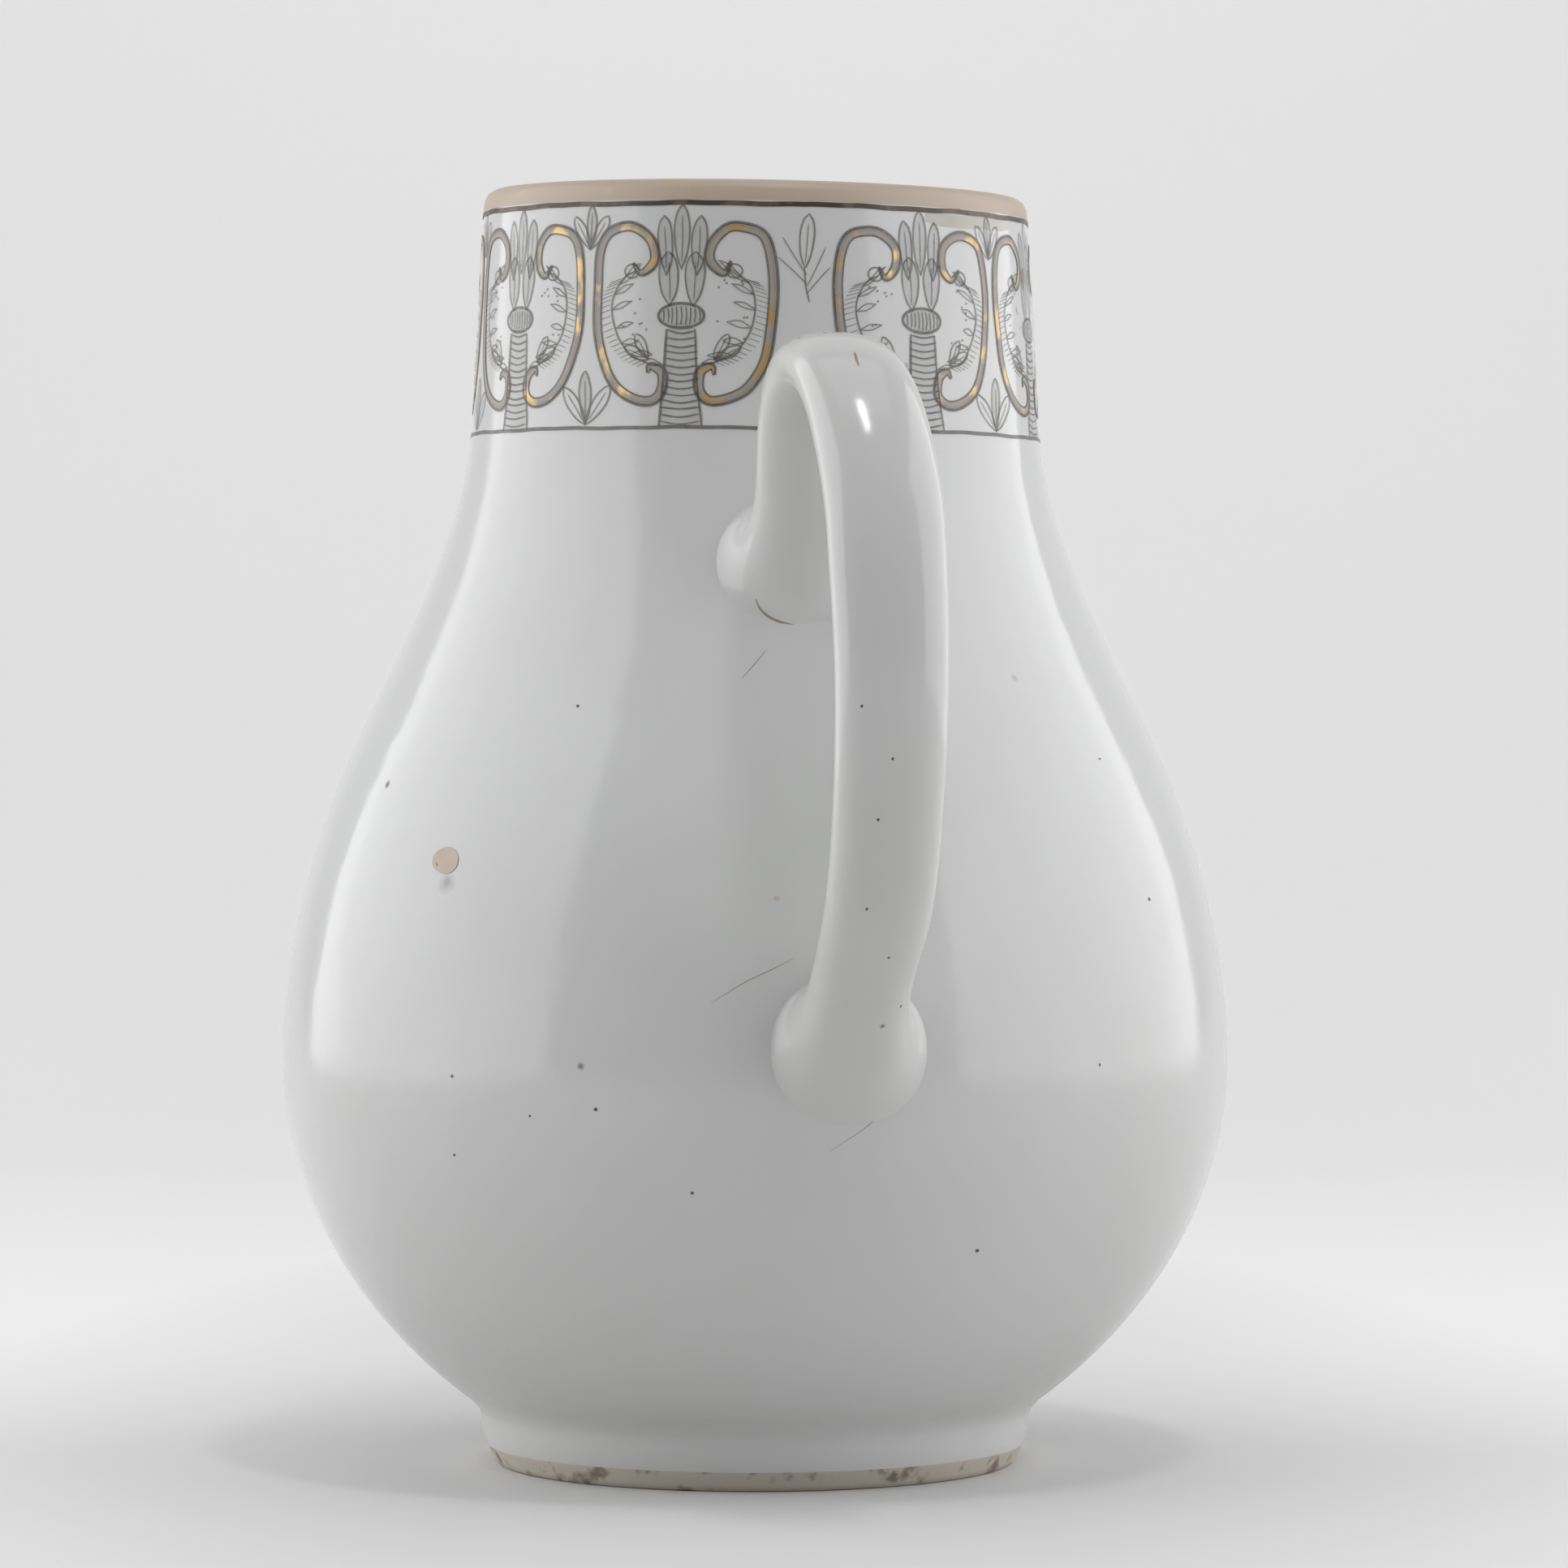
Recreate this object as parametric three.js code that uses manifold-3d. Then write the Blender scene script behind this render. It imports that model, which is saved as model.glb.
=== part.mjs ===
// A small porcelain jug of baluster form with a strap handle and a beak spout.
// Millimetres, +Z up. The handle points to +X and the spout to -X.
import * as THREE from "three";
import { mergeVertices } from "three/addons/utils/BufferGeometryUtils.js";
import Module from "manifold-3d";

const wasm = await Module();
wasm.setup();

// Body outline, outside
const HEIGHT = 115;
const FOOT_EDGE_RADIUS = 23.4;
const FOOT_RADIUS = 24.9;
const FOOT_HEIGHT = 5.2;
const BELLY_RADIUS = 42.6;
const BELLY_HEIGHT = 36.6;
const SHOULDER_RADIUS = 34.7;
const SHOULDER_HEIGHT = 67.8;
const SHOULDER_SLOPE = 0.49;
const NECK_RADIUS = 25.6;
const NECK_HEIGHT = 94;
const RIM_RADIUS = 24.5;

// Walls
const BELLY_WALL = 4.2;
const NECK_WALL = 3;
const FOOT_RING_WIDTH = 3.2;
const FOOT_RECESS_ROOF = 4;
const FLOOR_HEIGHT = 9;
const LIP_ROUNDING = 1.1;

// Slip that joins the two thrown halves, inside the belly
const SLIP_RIDGE = 0.7;

// Spout
const SPOUT_BASE_HEIGHT = 84;
const SPOUT_REACH = 12;
const SPOUT_BASE_REACH = 0.7;
const SPOUT_BULGE = 0.75;
const NOTCH_MARGIN = 1;

// Handle, as a strap on a line in the XZ plane
const HANDLE_WIDTH = 9;
const HANDLE_THICKNESS = 5.4;
const HANDLE_REACH = 60;
const HANDLE_TOP = 96.5;
const HANDLE_UPPER_JOIN = 80;
const HANDLE_LOWER_JOIN = 40;
const LUTING_LENGTH = 4;
const LUTING_FLARE = 1.7;

// Clearance between pieces that only meet at a curved face
const GAP = 0.3;

// Mesh fineness
const TURN_STEPS = 56;
const CURVE_STEPS = 7;
const STRAP_STEPS = 44;
const STRAP_SIDES = 18;
const SPOUT_LEVELS = 9;
const SPOUT_COLUMNS = 14;

// Colours of the plain model
const GLAZE = new THREE.MeshStandardMaterial({ color: 0xd9dad8, roughness: 0.12, metalness: 0 });
const BARE_CLAY = new THREE.MeshStandardMaterial({ color: 0xc9bca8, roughness: 0.7, metalness: 0 });

// The jug's axis lies off the origin, so that the origin is the middle of what it covers.
const HANDLE_OUTSIDE = HANDLE_REACH + HANDLE_THICKNESS / 2;
const SPOUT_TIP = RIM_RADIUS + SPOUT_REACH;
const AXIS_X = (Math.max(BELLY_RADIUS, SPOUT_TIP) - HANDLE_OUTSIDE) / 2;

// Points on a cubic curve, without its first point when it carries on from another
function curvePoints(start, lead, trail, end, keepFirst = true) {
  const curve = new THREE.CubicBezierCurve(
    new THREE.Vector2(...start),
    new THREE.Vector2(...lead),
    new THREE.Vector2(...trail),
    new THREE.Vector2(...end),
  );
  const points = curve.getPoints(CURVE_STEPS);
  return keepFirst ? points : points.slice(1);
}

// The outside of the belly below its widest place, from the foot upwards
function lowerOutside() {
  const rise = BELLY_HEIGHT - FOOT_HEIGHT;
  const spread = BELLY_RADIUS - FOOT_RADIUS;
  return curvePoints(
    [FOOT_RADIUS, FOOT_HEIGHT],
    [FOOT_RADIUS + spread * 0.45, FOOT_HEIGHT + rise * 0.175],
    [BELLY_RADIUS, BELLY_HEIGHT - rise * 0.48],
    [BELLY_RADIUS, BELLY_HEIGHT],
  );
}

// The outside from the widest place up to the neck
function shoulderOutside() {
  const lift = (SHOULDER_HEIGHT - BELLY_HEIGHT) * 0.29;
  const reach = (NECK_HEIGHT - SHOULDER_HEIGHT) * 0.34;
  const lower = curvePoints(
    [BELLY_RADIUS, BELLY_HEIGHT],
    [BELLY_RADIUS, BELLY_HEIGHT + lift * 1.27],
    [SHOULDER_RADIUS + SHOULDER_SLOPE * lift, SHOULDER_HEIGHT - lift],
    [SHOULDER_RADIUS, SHOULDER_HEIGHT],
  );
  const upper = curvePoints(
    [SHOULDER_RADIUS, SHOULDER_HEIGHT],
    [SHOULDER_RADIUS - SHOULDER_SLOPE * reach, SHOULDER_HEIGHT + reach],
    [NECK_RADIUS + 0.6, NECK_HEIGHT - reach],
    [NECK_RADIUS, NECK_HEIGHT],
    false,
  );
  return [...lower, ...upper];
}

// Outer radius of the neck at a height
function neckRadius(z) {
  const share = (z - NECK_HEIGHT) / (HEIGHT - NECK_HEIGHT);
  if (share >= 0) return NECK_RADIUS + (RIM_RADIUS - NECK_RADIUS) * share;
  const outline = shoulderOutside();
  const above = outline.findIndex((p) => p.y >= z);
  const a = outline[Math.max(above - 1, 0)];
  const b = outline[Math.max(above, 1)];
  return a.x + ((b.x - a.x) * (z - a.y)) / (b.y - a.y);
}

// Wall thickness at a height above the belly
function wallAt(z) {
  const share = THREE.MathUtils.clamp((z - BELLY_HEIGHT) / (NECK_HEIGHT - BELLY_HEIGHT), 0, 1);
  return BELLY_WALL + (NECK_WALL - BELLY_WALL) * share;
}

// The inside of the bowl, from the middle of the floor up to the seam
function lowerInside() {
  const radius = BELLY_RADIUS - BELLY_WALL;
  const rise = BELLY_HEIGHT - FLOOR_HEIGHT;
  return curvePoints(
    [0, FLOOR_HEIGHT],
    [radius * 0.66, FLOOR_HEIGHT],
    [radius, BELLY_HEIGHT - rise * 0.6],
    [radius, BELLY_HEIGHT],
  );
}

function shoulderInside() {
  return shoulderOutside().map((p) => new THREE.Vector2(p.x - wallAt(p.y), p.y));
}

// A solid of revolution from an outline that goes round counterclockwise in (radius, height)
function turned(points) {
  const closed = points[0].x === 0 ? points : [...points, points[0]];
  return new THREE.LatheGeometry(closed, TURN_STEPS).rotateX(Math.PI / 2);
}

function solidOf(geometry) {
  const bare = geometry.clone();
  bare.deleteAttribute("normal");
  bare.deleteAttribute("uv");
  const merged = mergeVertices(bare, 1e-4);
  return new wasm.Manifold(
    new wasm.Mesh({
      numProp: 3,
      vertProperties: new Float32Array(merged.attributes.position.array),
      triVerts: new Uint32Array(merged.index.array),
    }),
  );
}

function geometryOf(solid) {
  const mesh = solid.getMesh();
  const geometry = new THREE.BufferGeometry();
  const positions = new THREE.BufferAttribute(new Float32Array(mesh.vertProperties), 3);
  geometry.setAttribute("position", positions);
  geometry.setIndex(new THREE.BufferAttribute(new Uint32Array(mesh.triVerts), 1));
  geometry.computeVertexNormals();
  return geometry;
}

// A closed skin over rings of points, each ring with the same even count
function skinOver(rings) {
  const sides = rings[0].length;
  const points = rings.flat();
  const faces = [];
  for (let i = 0; i + 1 < rings.length; i++) {
    for (let j = 0; j < sides; j++) {
      const a = i * sides + j;
      const b = i * sides + ((j + 1) % sides);
      faces.push(a, b, b + sides, a, b + sides, a + sides);
    }
  }
  const last = (rings.length - 1) * sides;
  for (let j = 0; j + 1 < sides / 2; j++) {
    const [p, q, r, s] = [j, j + 1, sides - 2 - j, sides - 1 - j];
    faces.push(p, r, q, p, s, r);
    faces.push(last + p, last + q, last + r, last + p, last + r, last + s);
  }
  const geometry = new THREE.BufferGeometry().setFromPoints(points);
  geometry.setIndex(faces);
  geometry.computeVertexNormals();
  return geometry;
}

// Foot ring, turned from the base, bevelled and bare at its edge
function footRing() {
  const inner = FOOT_RADIUS - FOOT_RING_WIDTH;
  return turned([
    new THREE.Vector2(inner, FOOT_RECESS_ROOF),
    new THREE.Vector2(inner + 0.4, 0),
    new THREE.Vector2(FOOT_EDGE_RADIUS, 0),
    new THREE.Vector2(FOOT_RADIUS - 0.5, FOOT_HEIGHT * 0.35),
    new THREE.Vector2(FOOT_RADIUS, FOOT_RECESS_ROOF),
  ]);
}

// Bowl up to the luting seam, with the floor over the foot recess
function lowerBody() {
  const inner = FOOT_RADIUS - FOOT_RING_WIDTH;
  return turned([
    new THREE.Vector2(0, FOOT_RECESS_ROOF),
    new THREE.Vector2(inner, FOOT_RECESS_ROOF),
    new THREE.Vector2(FOOT_RADIUS, FOOT_RECESS_ROOF),
    ...lowerOutside(),
    ...lowerInside().reverse(),
  ]);
}

function upperRing() {
  const insideRim = RIM_RADIUS - NECK_WALL;
  return turned([
    ...shoulderOutside(),
    new THREE.Vector2(RIM_RADIUS, HEIGHT - LIP_ROUNDING),
    new THREE.Vector2(RIM_RADIUS - LIP_ROUNDING * 0.3, HEIGHT - LIP_ROUNDING * 0.3),
    new THREE.Vector2(RIM_RADIUS - LIP_ROUNDING, HEIGHT),
    new THREE.Vector2(insideRim + LIP_ROUNDING, HEIGHT),
    new THREE.Vector2(insideRim + LIP_ROUNDING * 0.3, HEIGHT - LIP_ROUNDING * 0.3),
    new THREE.Vector2(insideRim, HEIGHT - LIP_ROUNDING),
    ...shoulderInside().reverse(),
  ]);
}

// Reach of the spout's keel from the axis at a height
function keelReach(z) {
  const share = (z - SPOUT_BASE_HEIGHT) / (HEIGHT - SPOUT_BASE_HEIGHT);
  const base = neckRadius(SPOUT_BASE_HEIGHT) + SPOUT_BASE_REACH;
  return base + (SPOUT_TIP - base) * Math.pow(share, 1 / SPOUT_BULGE);
}

// Half the angle that the spout takes from the neck at a height
function spoutHalfAngle(z) {
  return Math.acos(neckRadius(z) / Math.max(keelReach(z), neckRadius(z) + SPOUT_BASE_REACH));
}

// One level of the spout: out along its outer face and back along its inner face
function spoutRing(z, outerFactor, innerFactor, halfAngle) {
  const seat = Math.acos(neckRadius(z) / Math.max(keelReach(z), neckRadius(z) + SPOUT_BASE_REACH));
  const face = (factor, angle) => {
    const inside = Math.max(seat - Math.abs(angle), 0);
    const radius = (neckRadius(z) * factor) / Math.cos(inside);
    const turn = Math.PI + angle;
    return new THREE.Vector3(radius * Math.cos(turn), radius * Math.sin(turn), z);
  };
  const ring = [];
  for (let j = 0; j <= SPOUT_COLUMNS; j++) {
    ring.push(face(outerFactor, halfAngle * ((2 * j) / SPOUT_COLUMNS - 1)));
  }
  for (let j = SPOUT_COLUMNS; j >= 0; j--) {
    ring.push(face(innerFactor, halfAngle * ((2 * j) / SPOUT_COLUMNS - 1)));
  }
  return ring;
}

// Beak spout: two flat sides that leave the neck as tangents and meet at a keel
function spout() {
  const rings = [];
  for (let i = 0; i <= SPOUT_LEVELS; i++) {
    const z = SPOUT_BASE_HEIGHT + ((HEIGHT - SPOUT_BASE_HEIGHT) * i) / SPOUT_LEVELS;
    const inner = 1 - wallAt(z) / neckRadius(z);
    rings.push(spoutRing(z, 1, inner, spoutHalfAngle(z) - GAP / neckRadius(z)));
  }
  return skinOver(rings);
}

// One level of the notch: an arc outside the wall and back along an arc inside it
function notchRing(level, height) {
  const halfAngle = spoutHalfAngle(level);
  const outer = neckRadius(level) + NOTCH_MARGIN;
  const inner = neckRadius(level) - wallAt(level) - NOTCH_MARGIN;
  const ring = [];
  for (const [radius, way] of [[outer, 1], [inner, -1]]) {
    for (let j = 0; j <= SPOUT_COLUMNS; j++) {
      const turn = Math.PI + way * halfAngle * ((2 * j) / SPOUT_COLUMNS - 1);
      ring.push(new THREE.Vector3(radius * Math.cos(turn), radius * Math.sin(turn), height));
    }
  }
  return ring;
}

// The notch that the neck loses where the spout is set in
function spoutNotch() {
  const rings = [];
  for (let i = 0; i <= SPOUT_LEVELS + 1; i++) {
    const z = SPOUT_BASE_HEIGHT + ((HEIGHT - SPOUT_BASE_HEIGHT) * i) / SPOUT_LEVELS;
    rings.push(notchRing(Math.min(z, HEIGHT), i === 0 ? z - GAP : z));
  }
  return skinOver(rings);
}

function upperBody() {
  return geometryOf(solidOf(upperRing()).subtract(solidOf(spoutNotch())));
}

// Ridge of slip inside the seam; its outer points are the body's own inner points
function bellyLuting() {
  const below = lowerInside().at(-2);
  const seam = lowerInside().at(-1);
  const above = shoulderInside()[1];
  return turned([
    below,
    seam,
    above,
    new THREE.Vector2(seam.x - SLIP_RIDGE, seam.y),
  ]);
}

// Line of the handle from inside the neck wall to inside the belly wall
function handleLine() {
  const upper = neckRadius(HANDLE_UPPER_JOIN);
  const lower = BELLY_RADIUS;
  const points = [
    [upper - 2.5, HANDLE_UPPER_JOIN - 1.5],
    [upper + 3, HANDLE_UPPER_JOIN + 4.5],
    [upper + 8, HANDLE_TOP - 3.4],
    [upper + 15, HANDLE_TOP],
    [HANDLE_REACH - 8, HANDLE_TOP - 3],
    [HANDLE_REACH - 1.8, HANDLE_TOP - 12],
    [HANDLE_REACH, HANDLE_TOP - 22],
    [HANDLE_REACH - 1.2, HANDLE_TOP - 34],
    [HANDLE_REACH - 5, HANDLE_TOP - 44],
    [lower + 5.5, HANDLE_LOWER_JOIN + 6],
    [lower + 1.2, HANDLE_LOWER_JOIN + 0.8],
    [lower - 2.5, HANDLE_LOWER_JOIN - 3],
  ];
  return new THREE.CatmullRomCurve3(points.map(([r, z]) => new THREE.Vector3(r, 0, z)));
}

// Oval strap along part of the handle's line; swell(u) widens it
function strap(from, to, steps, swell) {
  const line = handleLine();
  const rings = [];
  for (let i = 0; i <= steps; i++) {
    const u = from + ((to - from) * i) / steps;
    const centre = line.getPointAt(u);
    const along = line.getTangentAt(u);
    const across = new THREE.Vector3(0, 1, 0);
    const out = new THREE.Vector3().crossVectors(along, across);
    const ring = [];
    for (let j = 0; j < STRAP_SIDES; j++) {
      const turn = (2 * Math.PI * j) / STRAP_SIDES;
      const side = Math.cos(turn) * (HANDLE_WIDTH / 2) * swell(u);
      const depth = Math.sin(turn) * (HANDLE_THICKNESS / 2) * swell(u);
      const point = centre.clone().addScaledVector(across, side).addScaledVector(out, depth);
      ring.push(point);
    }
    rings.push(ring);
  }
  return skinOver(rings);
}

// Space that the body keeps, a gap larger than its outside, filled in
function bodySpace() {
  const outline = [...lowerOutside(), ...shoulderOutside().slice(1)];
  const grown = outline.map((p) => new THREE.Vector2(p.x + GAP, p.y));
  return solidOf(
    turned([
      new THREE.Vector2(0, 0),
      new THREE.Vector2(FOOT_RADIUS + GAP, 0),
      ...grown,
      new THREE.Vector2(RIM_RADIUS + GAP, HEIGHT + 1),
      new THREE.Vector2(0, HEIGHT + 1),
    ]),
  );
}

// Share of the handle's line at which it leaves the body, from either end
function leavingShare(fromStart) {
  const line = handleLine();
  const steps = 400;
  for (let i = 0; i <= steps; i++) {
    const u = fromStart ? i / steps : 1 - i / steps;
    const p = line.getPointAt(u);
    const bodyRadius = p.z > BELLY_HEIGHT ? neckRadius(p.z) : BELLY_RADIUS;
    if (p.x > bodyRadius + HANDLE_THICKNESS * 0.3) return u;
  }
  return fromStart ? 0 : 1;
}

const handleLength = handleLine().getLength();
const upperShare = leavingShare(true) + LUTING_LENGTH / handleLength;
const lowerShare = leavingShare(false) - LUTING_LENGTH / handleLength;
const gapShare = GAP / handleLength;

function handle() {
  return strap(upperShare + gapShare, lowerShare - gapShare, STRAP_STEPS, () => 1);
}

// Collar of clay and slip that spreads from the strap onto the body
function upperLuting() {
  const swell = (u) => 1 + (LUTING_FLARE - 1) * Math.pow(1 - u / upperShare, 2);
  return geometryOf(solidOf(strap(0, upperShare, 10, swell)).subtract(bodySpace()));
}

function lowerLuting() {
  const swell = (u) => 1 + (LUTING_FLARE - 1) * Math.pow((u - lowerShare) / (1 - lowerShare), 2);
  return geometryOf(solidOf(strap(lowerShare, 1, 10, swell)).subtract(bodySpace()));
}

const jug = new THREE.Group();
jug.position.x = AXIS_X;

function addPiece(name, geometry, material) {
  const mesh = new THREE.Mesh(geometry, material);
  mesh.name = name;
  jug.add(mesh);
}

addPiece("foot_ring", footRing(), BARE_CLAY);
addPiece("lower_body", lowerBody(), GLAZE);
addPiece("belly_luting", bellyLuting(), BARE_CLAY);
addPiece("upper_body", upperBody(), GLAZE);
addPiece("spout", spout(), GLAZE);
addPiece("handle", handle(), GLAZE);
addPiece("handle_upper_luting", upperLuting(), GLAZE);
addPiece("handle_lower_luting", lowerLuting(), GLAZE);

const part = new THREE.Group();
part.add(jug);
export default part;
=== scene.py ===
# %% [markdown]
# A small porcelain jug: a turned foot, a round belly, a straight neck with a beak, and a strap handle.
# The fired object is one glazed skin, so its clay pieces are shown under one continuous surface.
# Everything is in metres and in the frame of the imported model, which is loaded first.

# %% Load the frame
import math
import random

import bmesh
import bpy
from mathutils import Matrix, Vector
from mathutils.bvhtree import BVHTree


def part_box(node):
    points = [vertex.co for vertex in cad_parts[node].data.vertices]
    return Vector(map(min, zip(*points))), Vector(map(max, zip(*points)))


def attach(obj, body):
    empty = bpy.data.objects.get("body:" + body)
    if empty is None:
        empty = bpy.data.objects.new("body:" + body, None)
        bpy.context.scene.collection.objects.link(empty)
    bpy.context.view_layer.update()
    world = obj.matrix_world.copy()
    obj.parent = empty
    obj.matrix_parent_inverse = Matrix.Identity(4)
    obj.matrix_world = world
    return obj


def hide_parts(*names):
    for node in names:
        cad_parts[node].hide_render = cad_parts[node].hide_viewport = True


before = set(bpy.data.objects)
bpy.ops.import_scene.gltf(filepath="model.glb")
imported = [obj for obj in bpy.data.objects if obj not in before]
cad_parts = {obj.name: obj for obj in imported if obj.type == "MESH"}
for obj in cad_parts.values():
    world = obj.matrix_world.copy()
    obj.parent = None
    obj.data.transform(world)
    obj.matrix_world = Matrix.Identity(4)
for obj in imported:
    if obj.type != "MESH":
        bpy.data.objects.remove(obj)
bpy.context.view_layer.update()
MM = 0.001
rng = random.Random(7)

# %% [markdown]
# The photograph is taken from the handle's side with a long lens, a little above the belly.
# The camera's distance and height come from how the rim and the foot curve in the picture.

# %% Camera
foot_low, foot_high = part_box("foot_ring")
AXIS_X = (foot_low.x + foot_high.x) / 2
VIEW_AZIMUTH = math.radians(79.5)
CAMERA_DISTANCE = 0.548
EYE_HEIGHT = 0.0674
AIM_HEIGHT = 0.0611
AIM_RIGHT = 0.00257
FRAME_WIDTH = 0.1417
SENSOR_WIDTH = 36
to_right = Vector((math.cos(VIEW_AZIMUTH), math.sin(VIEW_AZIMUTH), 0))
away = Vector((-math.sin(VIEW_AZIMUTH), math.cos(VIEW_AZIMUTH), 0))
axis_point = Vector((AXIS_X, 0, 0))
aim = axis_point + to_right * AIM_RIGHT + Vector((0, 0, AIM_HEIGHT))
eye = axis_point + to_right * AIM_RIGHT - away * CAMERA_DISTANCE + Vector((0, 0, EYE_HEIGHT))
camera_data = bpy.data.cameras.new("camera")
camera_data.sensor_width = SENSOR_WIDTH
camera_data.lens = SENSOR_WIDTH * CAMERA_DISTANCE / FRAME_WIDTH
camera = bpy.data.objects.new("camera", camera_data)
bpy.context.scene.collection.objects.link(camera)
camera.location = eye
camera.rotation_euler = (aim - eye).to_track_quat("-Z", "Y").to_euler()
bpy.context.scene.camera = camera
print("camera lens", round(camera_data.lens, 1))

# %% [markdown]
# The jug stood in a light tent: a white wall on each side and an open, darker front.
# The walls are two tall soft lamps. Their edges give the soft borders that the glaze reflects.

# %% Light
bpy.context.scene.view_settings.view_transform = "Standard"


def soft_lamp(name, place, target, width, height, radiance):
    data = bpy.data.lights.new(name, "AREA")
    data.shape = "RECTANGLE"
    data.size = width
    data.size_y = height
    data.energy = radiance * math.pi * width * height
    lamp = bpy.data.objects.new(name, data)
    bpy.context.scene.collection.objects.link(lamp)
    lamp.location = place
    lamp.rotation_euler = (target - place).to_track_quat("-Z", "Y").to_euler()


middle = axis_point + Vector((0, 0, 0.06))
WALL_DISTANCE = 0.5
WALL_SIZE = 0.9
WALL_RISE = 0.25
WALL_RADIANCE = {"left": 1.70, "right": 1.66}
for side, radiance in WALL_RADIANCE.items():
    sign = -1 if side == "left" else 1
    place = middle + to_right * WALL_DISTANCE * sign + Vector((0, 0, WALL_RISE))
    soft_lamp("wall_" + side, place, place - to_right * sign, WALL_SIZE, WALL_SIZE, radiance)
ROOF_RISE = 0.7
ROOF_SIZE = 0.5
ROOF_RADIANCE = 0.7
roof_place = middle + Vector((0, 0, ROOF_RISE))
soft_lamp("roof", roof_place, middle, ROOF_SIZE, ROOF_SIZE, ROOF_RADIANCE)
# A small bright lamp above and in front gives the sharp highlight
WINDOW_RISE = 0.62
WINDOW_FRONT = 0.22
WINDOW_RIGHT = 0.08
WINDOW_SIDES = (0.05, 0.12)
WINDOW_RADIANCE = 24
window_place = middle + Vector((0, 0, WINDOW_RISE)) - away * WINDOW_FRONT + to_right * WINDOW_RIGHT
soft_lamp("window", window_place, middle, *WINDOW_SIDES, WINDOW_RADIANCE)
print("lamps", len(bpy.data.lights))

# %% [markdown]
# The air around gives an even low light. It is set in the world, and its front half is what the
# glaze reflects in its darker middle.

# %% World
world = bpy.data.worlds.new("tent_air")
world.use_nodes = True
world.node_tree.nodes["Background"].inputs["Color"].default_value = (0.198, 0.201, 0.205, 1)
bpy.context.scene.world = world

# %% [markdown]
# A pale sheet lies under the jug and bends up behind it, as in a photographer's light tent. One
# bent strip is enough, because only its tone and the jug's shadow on it are seen.

# %% Sheet under and behind
SHEET_HALF = 1.2
BEND_START = 0.35
BEND_RADIUS = 0.5
BEND_STEPS = 12
SHEET_TOP = 1.6


def make_object(name, mesh_builder):
    mesh = bpy.data.meshes.new(name)
    mesh_builder(mesh)
    mesh.polygons.foreach_set("use_smooth", [True] * len(mesh.polygons))
    made = bpy.data.objects.new(name, mesh)
    bpy.context.scene.collection.objects.link(made)
    return made


def sheet_mesh(mesh):
    path = [(-SHEET_HALF, 0.0), (BEND_START, 0.0)]
    for i in range(1, BEND_STEPS + 1):
        turn = math.pi / 2 * i / BEND_STEPS
        path.append((BEND_START + BEND_RADIUS * math.sin(turn), BEND_RADIUS * (1 - math.cos(turn))))
    path.append((BEND_START + BEND_RADIUS, SHEET_TOP))
    points = []
    for depth, rise in path:
        for sign in (-1, 1):
            points.append(axis_point + away * depth + to_right * SHEET_HALF * sign + Vector((0, 0, rise)))
    faces = [(2 * i, 2 * i + 1, 2 * i + 3, 2 * i + 2) for i in range(len(path) - 1)]
    mesh.from_pydata([tuple(p) for p in points], [], faces)


sheet = make_object("sheet", sheet_mesh)

# %% [markdown]
# The sheet has a matt part, which takes the lamps' light and the jug's shadow, and a glow that only
# the camera and reflections see, so it adds no light to the jug. The glow is weak round the foot,
# where the shadow has to stay, and grows to the sides and upwards.

# %% The sheet's finish
MATT_TONE = (0.70, 0.695, 0.695, 1)
GLOW_TONE = (1.0, 0.995, 1.01, 1)
GLOW_START = 0.02
GLOW_FULL = 0.09
SIDE_GLOW = 0.23
GLOW_HEIGHT = 0.25
HIGH_GLOW = 0.08
DEPTH_SHARE = 0.35


def math_node(tree, operation, first, second):
    """Joins two values, each a plain number or another node's output."""
    node = tree.nodes.new("ShaderNodeMath")
    node.operation = operation
    for socket, value in zip(node.inputs, (first, second)):
        if isinstance(value, (int, float)):
            socket.default_value = value
        else:
            tree.links.new(value, socket)
    return node.outputs[0]


def distance_along(tree, offset, direction):
    """How far a point lies from the jug's axis, along a fixed direction."""
    node = tree.nodes.new("ShaderNodeVectorMath")
    node.operation = "DOT_PRODUCT"
    node.inputs[1].default_value = direction
    tree.links.new(offset, node.inputs[0])
    return node.outputs["Value"]


def growing(tree, source, low, high, most):
    node = tree.nodes.new("ShaderNodeMapRange")
    node.inputs["From Min"].default_value = low
    node.inputs["From Max"].default_value = high
    node.inputs["To Max"].default_value = most
    tree.links.new(source, node.inputs["Value"])
    return node.outputs["Result"]


def glow_strength(tree):
    place = tree.nodes.new("ShaderNodeTexCoord")
    offset = tree.nodes.new("ShaderNodeVectorMath")
    offset.operation = "SUBTRACT"
    offset.inputs[1].default_value = axis_point
    tree.links.new(place.outputs["Object"], offset.inputs[0])
    across = distance_along(tree, offset.outputs[0], to_right)
    along = math_node(tree, "MULTIPLY", distance_along(tree, offset.outputs[0], away), DEPTH_SHARE)
    across_square = math_node(tree, "MULTIPLY", across, across)
    along_square = math_node(tree, "MULTIPLY", along, along)
    distance = math_node(tree, "POWER", math_node(tree, "ADD", across_square, along_square), 0.5)
    aside = growing(tree, distance, GLOW_START, GLOW_FULL, SIDE_GLOW)
    rise = distance_along(tree, offset.outputs[0], (0, 0, 1))
    rising = growing(tree, rise, 0.0, GLOW_HEIGHT, HIGH_GLOW)
    path = tree.nodes.new("ShaderNodeLightPath")
    seen = math_node(tree, "MAXIMUM", path.outputs["Is Camera Ray"], path.outputs["Is Glossy Ray"])
    return math_node(tree, "MULTIPLY", math_node(tree, "ADD", aside, rising), seen)


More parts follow.
